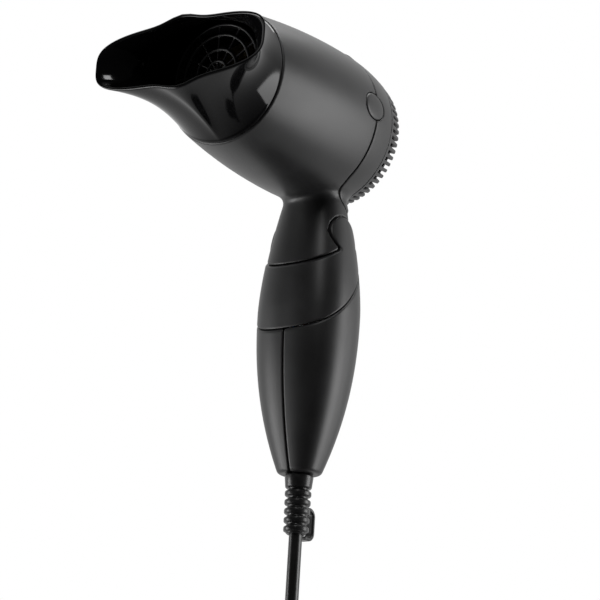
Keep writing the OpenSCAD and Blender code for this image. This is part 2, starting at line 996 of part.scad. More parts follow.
handle_collar();
handle_left_shell();
handle_right_shell();
hinge_pins();
switch_body();
switch_contacts();
switch_knob();
cord_clamp();
handle_screws();
handle_wire_live();
handle_wire_neutral();
strain_relief();
hang_loop();
cord_lead();
cord_hank();
cord_tail();
cord_tie();
plug_body();
plug_pins();
front_housing();
rear_housing();
rear_grille();
inlet_filter();
side_cap_left();
side_cap_right();
top_pad();
outlet_grille();
heater_sleeve();
heater_board_upright();
heater_board_flat();
heater_coil();
thermostat();
thermal_fuse();
motor_mount();
motor();
motor_board();
hinge_drum();
detent_spring();
housing_screws();
head_wire_live();
head_wire_neutral();
motor_shaft();
fan();
nozzle_snap_ring();
concentrator();
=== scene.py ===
"""Folding travel hair dryer: fine shells, materials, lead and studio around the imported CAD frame.

Sizes that the CAD part also has are restated here in millimetres; places come from the frame's boxes.
"""
import json
import math

import bpy
import numpy as np
from mathutils import Matrix, Vector


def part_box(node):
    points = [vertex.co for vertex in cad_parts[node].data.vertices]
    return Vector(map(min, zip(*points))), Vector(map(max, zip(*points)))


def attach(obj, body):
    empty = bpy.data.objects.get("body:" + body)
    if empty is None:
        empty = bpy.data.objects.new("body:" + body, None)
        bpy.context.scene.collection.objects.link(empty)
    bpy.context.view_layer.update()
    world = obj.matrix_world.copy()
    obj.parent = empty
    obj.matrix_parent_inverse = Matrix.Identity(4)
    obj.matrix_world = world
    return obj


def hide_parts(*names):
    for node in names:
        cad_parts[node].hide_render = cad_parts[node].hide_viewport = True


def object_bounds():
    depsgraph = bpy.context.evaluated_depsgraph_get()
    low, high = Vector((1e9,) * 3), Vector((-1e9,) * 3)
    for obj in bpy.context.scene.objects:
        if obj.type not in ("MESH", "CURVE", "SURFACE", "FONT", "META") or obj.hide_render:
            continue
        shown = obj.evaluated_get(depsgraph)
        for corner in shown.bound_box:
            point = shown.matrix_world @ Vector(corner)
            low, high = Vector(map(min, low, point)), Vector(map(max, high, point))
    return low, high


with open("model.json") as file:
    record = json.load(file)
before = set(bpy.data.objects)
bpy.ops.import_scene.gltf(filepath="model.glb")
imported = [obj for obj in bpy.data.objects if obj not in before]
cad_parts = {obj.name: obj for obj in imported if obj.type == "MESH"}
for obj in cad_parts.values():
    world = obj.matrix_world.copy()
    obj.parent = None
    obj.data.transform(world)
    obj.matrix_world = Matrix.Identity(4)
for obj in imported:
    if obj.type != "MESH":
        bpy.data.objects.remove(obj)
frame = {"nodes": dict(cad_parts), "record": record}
cad_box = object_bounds()
MM = 0.001


def low(node):
    """Lowest corner of a CAD node in millimetres."""
    return np.array(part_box(node)[0]) / MM


def high(node):
    """Highest corner of a CAD node in millimetres."""
    return np.array(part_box(node)[1]) / MM


# ---- sizes, in millimetres ----
AXIS_Z = (low("concentrator")[2] + high("concentrator")[2]) / 2
FRONT = -low("front_housing")[1]            # reach of the barrel ahead of the grip's axis
REAR = high("rear_grille")[1]
GRIP_DROP = -low("handle_left_shell")[2]
FRONT_R = 30.8
BARREL_R = 35.9
REAR_R = 31.2
BELLY_Y = -15.0
SEAM_Y = -6.0
GRILLE_Y = low("rear_grille")[1] - 0.1
WALL = 2.0
GRIP_HALF_W = 23.1
GRIP_DEPTH = 0.82
WIDEST_Z = 16.0
SQUARENESS = 2.5
PIVOT_Y = -0.5
PIVOT_Z = 51.3
LOBE_R = 8.9
SLOT_HALF = 12.5
HINGE_GAP = 0.4
NECK_INSET = 0.5
SWING_R = 20.5
JOINT_FRONT = (-17.4, PIVOT_Z - 16.4)
JOINT_SIDE = (-5.0, PIVOT_Z - 8.0)
CHEEK_FRONT = -9.8
ARC_R = 88.0
ARC_Y = -67.7
ARC_Z = PIVOT_Z + 26.6
NECK_TOP = PIVOT_Z + LOBE_R + HINGE_GAP
CAP_Y = -7.8
CAP_Z = AXIS_Z + 3.2
CAP_LONG = 7.4
CAP_HIGH = 6.1
CORD_D = 6.0
EDGE = 0.9                  # rounding of the moulded edges
SHOULDER = 4.0              # the grip's wall ends this far below the hinge
ARC_GAP = 0.2               # half of the gap along the round cut
HALF_GAP = 0.17             # half of the gap between the grip's two halves


# ---- camera: the photograph's viewing angle ----
AZIMUTH = math.radians(35.92)
ELEVATION = math.radians(-16.9)
ROLL = math.radians(3.51)
DISTANCE = 1.2375           # metres
SENSOR = 36.0
VIEW_WIDTH = 0.269058       # metres across the picture, at the origin's distance
AIM = (-3.04, 22.45)        # millimetres from the origin to the middle of the view, across and up


def add_camera():
    """Camera on the photograph's line of sight, rolled about it."""
    back = Vector((
        math.sin(AZIMUTH) * math.cos(ELEVATION),
        -math.cos(AZIMUTH) * math.cos(ELEVATION),
        math.sin(ELEVATION)))
    right = Vector((math.cos(AZIMUTH), math.sin(AZIMUTH), 0))
    up = back.cross(right)
    across = math.cos(ROLL) * right + math.sin(ROLL) * up
    upward = -math.sin(ROLL) * right + math.cos(ROLL) * up
    target = (AIM[0] * across + AIM[1] * upward) * MM
    data = bpy.data.cameras.new("photo_view")
    data.sensor_width = SENSOR
    data.lens = SENSOR * DISTANCE / VIEW_WIDTH
    data.clip_end = 20
    camera = bpy.data.objects.new("photo_view", data)
    bpy.context.scene.collection.objects.link(camera)
    turn = Matrix((across, upward, back)).transposed().to_4x4()
    camera.matrix_world = Matrix.Translation(target + DISTANCE * back) @ turn
    bpy.context.scene.camera = camera


add_camera()


# ---- mesh helpers ----
def make_object(name, mesh, body, material, nodes=()):
    piece = bpy.data.objects.new(name, mesh)
    bpy.context.scene.collection.objects.link(piece)
    if material:
        mesh.materials.append(material)
    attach(piece, body)
    if nodes:
        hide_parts(*nodes)
    return piece


def mesh_from(name, points, faces, normals=None):
    """Smooth-shaded mesh from points in millimetres."""
    mesh = bpy.data.meshes.new(name)
    mesh.from_pydata((np.asarray(points) * MM).tolist(), [], faces)
    mesh.validate()
    mesh.shade_smooth()
    if normals is not None:
        mesh.normals_split_custom_set_from_vertices(normals.tolist())
    return mesh


def grid_faces(rows, columns, closed_rows=False, flip=False):
    """Quads between closed rows of points; closed_rows joins the last row to the first."""
    faces = []
    for i in range(rows if closed_rows else rows - 1):
        for j in range(columns):
            a = i * columns + j
            b = i * columns + (j + 1) % columns
            c = (i + 1) % rows * columns + (j + 1) % columns
            d = (i + 1) % rows * columns + j
            faces.append((d, c, b, a) if flip else (a, b, c, d))
    return faces


def surface_net(field, lowest, highest, step):
    """Closed mesh of field = 0.

    Each grid cell that the surface crosses gets one corner, which is then moved onto the surface.
    """
    axes = [np.arange(a, b + step, step) for a, b in zip(lowest, highest)]
    grid = np.meshgrid(*axes, indexing="ij", sparse=True)
    value = field(*grid).astype(np.float32)
    value = np.broadcast_to(value, [len(a) for a in axes])
    cells = [n - 1 for n in value.shape]
    total = np.zeros(cells + [3], np.float32)
    count = np.zeros(cells, np.float32)
    crossings = []
    for axis in range(3):
        first = value.take(range(cells[axis]), axis)
        second = value.take(range(1, cells[axis] + 1), axis)
        crossed = (first < 0) != (second < 0)
        share = np.where(crossed, first / np.where(crossed, first - second, 1), 0)
        others = [k for k in range(3) if k != axis]
        for du in (0, 1):
            for dv in (0, 1):
                cut = [slice(None)] * 3
                cut[others[0]] = slice(du, cells[others[0]] + du)
                cut[others[1]] = slice(dv, cells[others[1]] + dv)
                hit = crossed[tuple(cut)]
                count += hit
                total[..., axis] += np.where(hit, share[tuple(cut)], 0)
                total[..., others[0]] += hit * du
                total[..., others[1]] += hit * dv
        crossings.append((axis, others, crossed, first < 0))
    used = count > 0
    number = np.full(cells, -1, np.int64)
    number[used] = np.arange(used.sum())
    origin = np.array([a[0] for a in axes])
    points = origin + step * (np.argwhere(used) + total[used] / count[used][:, None])
    faces = []
    for axis, others, crossed, inside in crossings:
        at = np.argwhere(crossed)
        u, v = others
        keep = ((at[:, u] > 0) & (at[:, u] < cells[u]) & (at[:, v] > 0) & (at[:, v] < cells[v]))
        at = at[keep]
        corners = []
        for du, dv in ((1, 1), (0, 1), (0, 0), (1, 0)):
            cell = at.copy()
            cell[:, u] -= du
            cell[:, v] -= dv
            corners.append(number[tuple(cell.T)])
        quads = np.stack(corners, 1)
        outward = inside[tuple(at.T)] ^ (axis == 1)
        quads[~outward] = quads[~outward][:, ::-1]
        faces.append(quads)
    faces = np.concatenate(faces)
    points, normals = settle(field, points, step)
    return points, faces.tolist(), normals


PROBE = 0.04                # step of the numerical gradient
PASSES = 3
MAX_SHIFT = 0.8             # share of a cell that a point may move


def settle(field, points, step):
    """Moves points onto field = 0 along its gradient, and gives the gradient's direction there."""
    h = PROBE
    start = points.copy()

    def gradient(p):
        parts = []
        for axis in range(3):
            shift = np.zeros(3)
            shift[axis] = h
            parts.append((field(*(p + shift).T) - field(*(p - shift).T)) / (2 * h))
        return np.stack(parts, 1)

    for _ in range(PASSES):
        g = gradient(points)
        size = np.maximum((g * g).sum(1), 0.05)
        points = points - (field(*points.T) / size)[:, None] * g
        points = start + np.clip(points - start, -MAX_SHIFT * step, MAX_SHIFT * step)
    g = gradient(points)
    return points, g / np.maximum(np.linalg.norm(g, axis=1), 1e-6)[:, None]


def net_object(name, field, lowest, highest, step, body, material, nodes):
    """Piece made from a field, searched in the box from lowest to highest."""
    points, faces, normals = surface_net(field, lowest, highest, step)
    mesh = mesh_from(name, points, faces, normals)
    return make_object(name, mesh, body, material, nodes)


# ---- fields: negative inside, in millimetres ----
def soft_max(a, b, k):
    """The larger of two fields, with the edge between them rounded over about k."""
    t = np.maximum(k - np.abs(a - b), 0) / k
    return np.maximum(a, b) + t * t * k / 4


def soft_min(a, b, k):
    return -soft_max(-a, -b, k)


TAPER_BELOW = (0.583, 2.2)  # share of the half-width lost towards the end, and the power of the taper
TAPER_ABOVE = (0.32, 1.6)
TAPER_TOP = 14.7            # the upper taper ends this far above the hinge


def half_width(z):
    """Half-width of the grip and neck at a height."""
    below = np.clip((WIDEST_Z - z) / (WIDEST_Z + GRIP_DROP), 0, 2)
    above = np.clip((z - WIDEST_Z) / (PIVOT_Z + TAPER_TOP - WIDEST_Z), 0, 2)
    share = 1 - TAPER_BELOW[0] * below ** TAPER_BELOW[1]
    share = share - TAPER_ABOVE[0] * above ** TAPER_ABOVE[1]
    return GRIP_HALF_W * share


def grip_field(x, y, z):
    """Radial distance to the squared section of the grip and the neck."""
    hx = half_width(z)
    hy = GRIP_DEPTH * hx
    ax = np.abs(x) / hx
    ay = np.abs(y) / hy
    ratio = (ax ** SQUARENESS + ay ** SQUARENESS) ** (1 / SQUARENESS)
    radius = np.sqrt(x * x + y * y)
    return np.where(ratio > 0.05, radius * (1 - 1 / np.maximum(ratio, 0.05)), -15.0)


BARREL_FRONT_POWER = 2
BARREL_BACK_POWER = 2.4


def barrel_at(y):
    """Radius of the barrel at a station: widest at the belly, narrower to both ends."""
    front = np.clip((BELLY_Y - y) / (BELLY_Y + FRONT), 0, 1.2)
    back = np.clip((y - BELLY_Y) / (REAR - BELLY_Y), 0, 1.2)
    ahead = BARREL_R - (BARREL_R - FRONT_R) * front ** BARREL_FRONT_POWER
    return ahead - (BARREL_R - REAR_R) * back ** BARREL_BACK_POWER


def barrel_field(x, y, z):
    return np.sqrt(x * x + (z - AXIS_Z) ** 2) - barrel_at(y)


def hinge_radius(y, z):
    return np.sqrt((y - PIVOT_Y) ** 2 + (z - PIVOT_Z) ** 2)


def joint_field(y, z):
    """Negative above the joint line and ahead of the cheeks, where the front of the neck is."""
    def beside(a, b, y, z):
        dy, dz = b[0] - a[0], b[1] - a[1]
        return ((y - a[0]) * dz - (z - a[1]) * dy) / math.hypot(dy, dz)
    under = beside(JOINT_FRONT, JOINT_SIDE, y, z)
    cheek = beside(JOINT_SIDE, (CHEEK_FRONT, PIVOT_Z), y, z)
    over = np.maximum(beside((CHEEK_FRONT, PIVOT_Z), (PIVOT_Y, NECK_TOP), y, z), y - PIVOT_Y)
    ahead = np.minimum(soft_min(cheek, y - CHEEK_FRONT, 1.5), over)
    return soft_max(under, ahead, 2.0)


def cap_field(x, y, z, grow):
    """Room of a side cap, with a margin of grow."""
    ratio = np.sqrt(((y - CAP_Y) / (CAP_LONG + grow)) ** 2 + ((z - CAP_Z) / (CAP_HIGH + grow)) ** 2)
    across = (ratio - 1) * (CAP_HIGH + grow)
    return np.maximum(across, BARREL_R - 2.4 - np.abs(x))


CHEEK_DEPTH = 5.0           # the neck's full width ends this far behind the hinge
STUB_TOP = 14.3             # and comes back this far above it


def neck_field(x, y, z):
    """The neck: a tongue, a block between the lobes and a narrow back that folds past them."""
    neck = grip_field(x, y, z) + NECK_INSET
    tongue = joint_field(y, z) + HINGE_GAP
    centre = np.maximum(np.abs(x) - SLOT_HALF + HINGE_GAP, y - SEAM_Y)
    centre = np.maximum(centre, PIVOT_Z - LOBE_R + 0.5 - z)
    above = NECK_TOP - z
    allowed = np.minimum(np.minimum(tongue, centre), above)
    lobes = soft_max(hinge_radius(y, z) - LOBE_R - HINGE_GAP, SLOT_HALF - HINGE_GAP - np.abs(x), 0.3)
    stub = np.maximum(PIVOT_Y + CHEEK_DEPTH - y, z - (PIVOT_Z + STUB_TOP))
    stub = np.maximum(stub, SLOT_HALF - HINGE_GAP - np.abs(x))
    neck = soft_max(neck, allowed, 1.1)
    neck = soft_max(neck, -lobes, 0.6)
    return soft_max(neck, -stub, 1.0)


def head_field(x, y, z):
    barrel = barrel_field(x, y, z)
    shell = soft_min(barrel, neck_field(x, y, z), 4.5)
    hollow = np.maximum(barrel + WALL, -(y + FRONT + 20))
    return np.maximum(shell, -hollow)


SEAM_GAP = 0.22
SEAM_TURN_TOP = 9.0         # the joint starts to swing back this far above the barrel's underside
SEAM_TURN_H = 17.0
SEAM_SWING = 10.2


def seam_at(z):
    """Station of the joint between the housings: it swings back where it runs down the neck."""
    t = np.clip((AXIS_Z - BARREL_R + SEAM_TURN_TOP - z) / SEAM_TURN_H, 0, 1)
    return SEAM_Y + SEAM_SWING * t * t * (3 - 2 * t)


def front_field(x, y, z):
    shell = head_field(x, y, z)
    shell = soft_max(shell, y - seam_at(z) + SEAM_GAP, EDGE)
    shell = soft_max(shell, -y - FRONT + 0.2, EDGE)
    bore = np.sqrt(x * x + (z - AXIS_Z) ** 2) - (FRONT_R - 2.1)
    shell = np.maximum(shell, -np.maximum(bore, y + FRONT - 14))
    return soft_max(shell, -cap_field(x, y, z, 0.35), 0.6)


def rear_field(x, y, z):
    shell = head_field(x, y, z)
    shell = soft_max(shell, seam_at(z) + SEAM_GAP - y, EDGE)
    grille = np.maximum(barrel_field(x, y, z) - 0.15, GRILLE_Y + 0.05 - y)
    shell = soft_max(shell, -grille, 0.5)
    return soft_max(shell, -cap_field(x, y, z, 0.35), 0.6)


def swing_field(x, y, z, grow):
    """The room behind the hinge that the neck needs while it folds."""
    between = np.maximum(hinge_radius(y, z) - SWING_R - grow, np.abs(x) - SLOT_HALF)
    return np.maximum(between, PIVOT_Y - y)


SLOT_WALL = 1.6             # wall left around the room behind the hinge
END_WALL = 4.0
JOINT_WALL = 6.0            # solid margin below the joint, so that no light comes through its gap


def grip_shell(x, y, z):
    outer = grip_field(x, y, z)
    hollow = np.maximum(outer + WALL, -swing_field(x, y, z, SLOT_WALL))
    hollow = np.maximum(hollow, -(z + GRIP_DROP - END_WALL))
    hollow = np.maximum(hollow, JOINT_WALL - joint_field(y, z))
    shell = np.maximum(outer, -hollow)
    return soft_max(shell, -swing_field(x, y, z, 0), 0.8)


def arc_field(y, z):
    return np.sqrt((y - ARC_Y) ** 2 + (z - ARC_Z) ** 2) - ARC_R


def collar_field(x, y, z):
    shell = grip_shell(x, y, z)
    shell = soft_max(shell, arc_field(y, z) + ARC_GAP, EDGE)
    shell = soft_max(shell, -joint_field(y, z), EDGE)
    lobe = hinge_radius(y, z) - LOBE_R
    shell = soft_max(shell, soft_min(z - PIVOT_Z + SHOULDER, lobe, 2), EDGE)
    slot = np.maximum(np.abs(x) - SLOT_HALF, y - PIVOT_Y)
    slot = np.maximum(slot, PIVOT_Z - LOBE_R - 1 - z)
    shell = np.maximum(shell, -slot)
    disc = soft_max(lobe, grip_field(x, y, z), EDGE)
    disc = np.maximum(disc, SLOT_HALF - np.abs(x))
    return np.minimum(shell, disc)


LIP_END = -0.6              # how far the left half's inner lip reaches past the seam
LIP_DEPTH = 1.0             # how far the lip lies below the surface
LIP_ROOT = 1.5              # where the lip starts, inside the left half
LIP_TOP = 30.0
LIP_SLOT = (0.7, 0.9)       # depth and width of the recess for the lip in the right half
WINDOW = (2.0, 14.5, 7.0)   # half-width, middle and half-height of the switch window
CORD_MOUTH_R = 4.7
CORD_MOUTH_H = 6.0


def seam_lip(x, y, z, shell):
    """Inner lip on the left half, which closes the line of sight through the seam."""
    lip = np.maximum(grip_field(x, y, z) + LIP_DEPTH, np.maximum(shell, x - LIP_ROOT))
    lip = np.maximum(lip, LIP_END - x)
    return np.maximum(lip, np.maximum(0.6 - arc_field(y, z), z - LIP_TOP))


def lower_field(side):
    """Field of one half of the lower grip; side is 1 for the left and -1 for the right."""
    def field(x, y, z):
        whole = grip_shell(x, y, z)
        shell = soft_max(whole, ARC_GAP - arc_field(y, z), EDGE)
        shell = soft_max(shell, -joint_field(y, z), EDGE)
        shell = soft_max(shell, HALF_GAP - side * x, 0.8)
        if side > 0:
            shell = np.minimum(shell, seam_lip(x, y, z, whole))
        else:
            recess = np.where(grip_field(x, y, z) < -LIP_SLOT[0], LIP_SLOT[1] + x, -9)
            shell = np.maximum(shell, recess)
        shell = soft_max(shell, -GRIP_DROP - z, 1.6)
        shell = np.maximum(shell, z - PIVOT_Z + SHOULDER)
        window = np.maximum(np.maximum(np.abs(x) - WINDOW[0], -y), np.abs(z - WINDOW[1]) - WINDOW[2])
        mouth = np.sqrt(x * x + y * y) - CORD_MOUTH_R
        mouth = np.maximum(mouth, z + GRIP_DROP - CORD_MOUTH_H)
        return np.maximum(np.maximum(shell, -window), -mouth)
    return field


# ---- materials ----
BROAD_SCALE = 60            # waves per metre of the broad change in colour and gloss
GRAIN_HEIGHT = 0.0001       # metres


def new_material(name):
    material = bpy.data.materials.new(name)
    material.use_nodes = True
    return material, material.node_tree, material.node_tree.nodes["Principled BSDF"]


def add_noise(tree, scale, detail, coords):
    noise = tree.nodes.new("ShaderNodeTexNoise")
    noise.inputs["Scale"].default_value = scale
    noise.inputs["Detail"].default_value = detail
    tree.links.new(coords.outputs["Object"], noise.inputs["Vector"])
    return noise


def moulded(name, colour, roughness, grain=0.0, grain_size=0.0004, tint=0.25, specular=0.5,
            metallic=0.0, smudge=0.06):
    """Moulded or plain surface: soft changes of colour and roughness, and a fine grain."""
    material, tree, shader = new_material(name)
    coords = tree.nodes.new("ShaderNodeTexCoord")
    broad = add_noise(tree, BROAD_SCALE, 3, coords)
    ramp = tree.nodes.new("ShaderNodeValToRGB")
    ramp.color_ramp.elements[0].position = 0.3
    ramp.color_ramp.elements[1].position = 0.7
    ramp.color_ramp.elements[0].color = (*[c * (1 - tint) for c in colour], 1)
    ramp.color_ramp.elements[1].color = (*[min(c * (1 + tint), 1) for c in colour], 1)
    tree.links.new(broad.outputs["Fac"], ramp.inputs["Fac"])
    tree.links.new(ramp.outputs["Color"], shader.inputs["Base Color"])
    spread = tree.nodes.new("ShaderNodeMapRange")
    spread.inputs["To Min"].default_value = max(roughness - smudge, 0.01)
    spread.inputs["To Max"].default_value = min(roughness + smudge, 1)
    tree.links.new(broad.outputs["Fac"], spread.inputs["Value"])
    tree.links.new(spread.outputs["Result"], shader.inputs["Roughness"])
    shader.inputs["Specular IOR Level"].default_value = specular
    shader.inputs["Metallic"].default_value = metallic
    if grain:
        fine = add_noise(tree, 1 / grain_size, 2, coords)
        bump = tree.nodes.new("ShaderNodeBump")
        bump.inputs["Strength"].default_value = grain
        bump.inputs["Distance"].default_value = GRAIN_HEIGHT
        tree.links.new(fine.outputs["Fac"], bump.inputs["Height"])
        tree.links.new(bump.outputs["Normal"], shader.inputs["Normal"])
    return material


SOFT = moulded("soft_touch_black", (0.012, 0.012, 0.0125), 0.42, grain=0.25, grain_size=0.0005)
COLLAR = moulded("soft_touch_collar", (0.012, 0.012, 0.0125), 0.42, grain=0.25, grain_size=0.0005)
GLOSS = moulded("piano_black", (0.003, 0.003, 0.0033), 0.09, tint=0.1, specular=0.22, smudge=0.02)
TRIM = moulded("trim_black", (0.016, 0.016, 0.017), 0.42, grain=0.2, grain_size=0.0005)
GRILLE = moulded("grille_black", (0.02, 0.02, 0.021), 0.45, grain=0.25, grain_size=0.0006)
CORD = moulded("cord_jacket", (0.006, 0.006, 0.006), 0.3, grain=0.35, grain_size=0.0012)
RELIEF = moulded("relief_rubber", (0.009, 0.009, 0.0095), 0.33, grain=0.3, grain_size=0.0008)
STEEL = moulded("steel", (0.55, 0.55, 0.56), 0.32, metallic=1, grain=0.1, grain_size=0.0003)
PLATED = moulded("plated", (0.72, 0.71, 0.69), 0.2, metallic=1, grain=0.05)
BRASS = moulded("brass", (0.65, 0.48, 0.2), 0.3, metallic=1, grain=0.08)
MICA = moulded("mica", (0.42, 0.34, 0.2), 0.35, tint=0.4, grain=0.5, grain_size=0.0015)
HEATER = moulded("heater_wire", (0.35, 0.33, 0.31), 0.42, metallic=1, tint=0.4)
CERAMIC = moulded("white_ceramic", (0.7, 0.69, 0.66), 0.4, tint=0.08, grain=0.15)
GREY = moulded("grey_plastic", (0.12, 0.12, 0.125), 0.5, grain=0.2)
FAN = moulded("fan_plastic", (0.2, 0.2, 0.2), 0.4, grain=0.15, tint=0.1)
BOARD = moulded("board_green", (0.02, 0.12, 0.05), 0.35, tint=0.3, grain=0.2, grain_size=0.001)
FILTER = moulded("filter_mesh", (0.05, 0.05, 0.05), 0.7, grain=0.9, grain_size=0.0009)
WIRE_A = moulded("wire_brown", (0.16, 0.06, 0.025), 0.4, grain=0.1)
WIRE_B = moulded("wire_blue", (0.03, 0.12, 0.35), 0.4, grain=0.1)

MATERIALS = {
    "soft_black": SOFT, "collar_black": COLLAR, "gloss_black": GLOSS, "trim_black": TRIM,
    "grille_black": GRILLE, "cord_black": CORD, "relief_black": RELIEF, "steel": STEEL,
    "plated": PLATED, "brass": BRASS, "mica": MICA, "heater_wire": HEATER,
    "white_ceramic": CERAMIC, "grey_plastic": GREY, "fan_plastic": FAN, "board_green": BOARD,
    "filter_mesh": FILTER, "wire_brown": WIRE_A, "wire_blue": WIRE_B,
}
NODE_SLOT = {s["node"]: s["material_slot"] for s in frame["record"]["subparts"]}
for node, cad in frame["nodes"].items():
    cad.data.materials.clear()
    cad.data.materials.append(MATERIALS[NODE_SLOT[node]])


# ---- the lead: straight down from the relief, then a tied hank, then the plug ----
HANK_TOP = -128.0
HANK_H = 144.0
HANK_W = 48.0
HANK_TURNS = 6
HANK_PITCH = CORD_D + 0.2
TURN_POINTS = 64
RUN_TOP = HANK_TOP - HANK_W / 2
RUN_LOW = HANK_TOP - HANK_H + HANK_W / 2
HANK_X = -HANK_W / 2 + CORD_D / 2
BEND_R = HANK_W / 2 - CORD_D / 2
PLUG_Y = CORD_D / 2 + HANK_PITCH / 2 - HANK_TURNS * HANK_PITCH
PLUG_TOP = HANK_TOP - HANK_H - 4
CORD_EXIT = np.array([0, 0, low("strain_relief")[2]])
LEAD_Z = [-88, -100, -112, -124, -138, RUN_TOP]


def hank_points():
    """Turns that go down at x = 0 and up at the far side, stacked towards the front."""
    length = 2 * (RUN_TOP - RUN_LOW) + 2 * math.pi * BEND_R
    points = []
    for turn in range(HANK_TURNS - 1):
        for k in range(TURN_POINTS):
            s = k / TURN_POINTS * length
            drop = RUN_TOP - RUN_LOW
            half = math.pi * BEND_R
            if s < drop:
                x, z = 0, RUN_TOP - s
            elif s < drop + half:
                t = (s - drop) / BEND_R
                x, z = HANK_X + BEND_R * math.cos(t), RUN_LOW - BEND_R * math.sin(t)
            elif s < 2 * drop + half:
                x, z = HANK_X - BEND_R, RUN_LOW + s - drop - half
            else:
                t = (s - 2 * drop - half) / BEND_R
                x, z = HANK_X - BEND_R * math.cos(t), RUN_TOP + BEND_R * math.sin(t)
            y = -HANK_PITCH * (turn + k / TURN_POINTS)
            points.append((x, y, z))
    last = -HANK_PITCH * (HANK_TURNS - 1)
    for z in (RUN_TOP, (RUN_TOP + RUN_LOW) / 2, RUN_LOW):
        points.append((0, last, z))
    return points


def add_cord():
    points = [tuple(CORD_EXIT)] + [(0, 0, z) for z in LEAD_Z[:-1]] + hank_points()
    points += [(0, PLUG_Y, z) for z in (-256, -266, PLUG_TOP)]
    curve = bpy.data.curves.new("mains_lead", "CURVE")
    curve.dimensions = "3D"
    curve.bevel_depth = CORD_D / 2 * MM
    curve.bevel_resolution = 6
    curve.resolution_u = 4
    curve.use_fill_caps = True
    spline = curve.splines.new("POLY")
    spline.points.add(len(points) - 1)
    for target, point in zip(spline.points, points):
        target.co = (point[0] * MM, point[1] * MM, point[2] * MM, 1)
    spline.use_smooth = True
    lead = bpy.data.objects.new("mains_lead", curve)
    bpy.context.scene.collection.objects.link(lead)
    curve.materials.append(CORD)
    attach(lead, "handle")
    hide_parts("cord_lead", "cord_hank", "cord_tail")


add_cord()


# ---- shells ----
def add_shells():
    fine = 0.5
    coarse = 0.65
    reach = BARREL_R + 1
    side = GRIP_HALF_W + 1
    net_object("front_shell", front_field,
               (-reach, -FRONT - 1, JOINT_FRONT[1] - 8), (reach, 6, AXIS_Z + reach),
               coarse, "head", SOFT, ["front_housing"])
    net_object("rear_shell", rear_field,
               (-reach, SEAM_Y - 1, NECK_TOP - 12), (reach, 17, AXIS_Z + reach),
               coarse, "head", SOFT, ["rear_housing"])
    net_object("collar_shell", collar_field, (-side, -side, 4), (side, side, PIVOT_Z + LOBE_R + 1),
               fine, "handle", COLLAR, ["handle_collar"])
    net_object("grip_left_shell", lower_field(1), (-1, -side, -GRIP_DROP - 1), (side, side, PIVOT_Z),
               fine, "handle", SOFT, ["handle_left_shell"])
    net_object("grip_right_shell", lower_field(-1), (-side, -side, -GRIP_DROP - 1), (1, side, PIVOT_Z),
               fine, "handle", SOFT, ["handle_right_shell"])


add_shells()


# share of the cap's size and height above the barrel, from its middle to its hidden edge
CAP_PROFILE = [
    (0.0, 0.18), (0.35, 0.18), (0.7, 0.16), (0.86, 0.1),
    (0.93, 0.0), (0.98, -0.2), (1.0, -0.5), (1.0, -2.2),
]


def add_cap(side):
    """Oval cap in the barrel's side, a little proud, with a rolled edge."""
    sides = 72
    t = np.linspace(0, 2 * np.pi, sides, endpoint=False)
    rings = []
    for share, lift in CAP_PROFILE:
        share = max(share, 0.01)
        y = CAP_Y + CAP_LONG * share * np.cos(t)
        z = CAP_Z + CAP_HIGH * share * np.sin(t)
        x = np.sqrt((barrel_at(y) + lift) ** 2 - (z - AXIS_Z) ** 2)
        rings.append(np.stack([side * x, y, z], 1))
    faces = grid_faces(len(rings), sides, flip=side < 0)
    faces.append(tuple(reversed(range(sides))) if side > 0 else tuple(range(sides)))
    name = "oval_cap_left" if side > 0 else "oval_cap_right"
    mesh = mesh_from(name, np.concatenate(rings), faces)
    node = "side_cap_left" if side > 0 else "side_cap_right"
    make_object(name, mesh, "head", SOFT, [node])


add_cap(1)
add_cap(-1)


PAD_ANGLE = 28.0
PAD_END = 7.5
PAD_RISE = 1.0


def pad_field(x, y, z):
    angle = np.degrees(np.arctan2(np.abs(x), z - AXIS_Z))
    across = (angle - PAD_ANGLE) * BARREL_R * math.radians(1)
    along = np.maximum(SEAM_Y + 0.5 - y, y - PAD_END)
    edge = soft_max(across, along, 2.0)
    body = soft_max(barrel_field(x, y, z) - PAD_RISE, edge, EDGE)
    return np.maximum(body, 0.4 - barrel_field(x, y, z) - PAD_RISE)


net_object("raised_pad", pad_field, (-20, SEAM_Y - 1, AXIS_Z + 24), (20, PAD_END + 1, AXIS_Z + 38),
           0.5, "head", TRIM, ["top_pad"])


# ---- rear inlet grille ----
RIB_COUNT = 62
SLOT_W = 1.5
SLOT_FROM_R = 19.0
GRILLE_WALL = 1.8
GRILLE_FACE = 2.2
RING_R = 12.0
DISH_R = 14.0


def grille_field(x, y, z):
    """Cup with slots around its edge, and a shallow dish with a ring in its middle."""
    radius = np.sqrt(x * x + (z - AXIS_Z) ** 2)
    body = soft_max(radius - barrel_at(y), y - REAR, 1.6)
    body = soft_max(body, GRILLE_Y + 0.12 - y, 0.5)
    hollow = np.maximum(radius - barrel_at(y) + GRILLE_WALL, y - REAR + GRILLE_FACE)
    body = np.maximum(body, -hollow)
    pitch = 2 * np.pi / RIB_COUNT
    angle = np.arctan2(z - AXIS_Z, x) + 0 * y
    off = np.abs((angle / pitch) % 1 - 0.5) * pitch * radius
    slot = np.maximum(np.maximum(off - SLOT_W / 2, SLOT_FROM_R - radius), GRILLE_Y + 2.2 - y)
    ring = np.maximum(np.abs(radius - RING_R) - 0.6, REAR - 0.5 - y)
    dish = np.maximum(radius - DISH_R, REAR - 0.4 - y)
    return np.maximum(soft_max(body, -slot, 0.5), -np.maximum(dish, -ring))


net_object("ribbed_grille", grille_field, (-34, GRILLE_Y - 1, AXIS_Z - 35), (34, REAR + 1, AXIS_Z + 35),
           0.42, "head", GRILLE, ["rear_grille"])


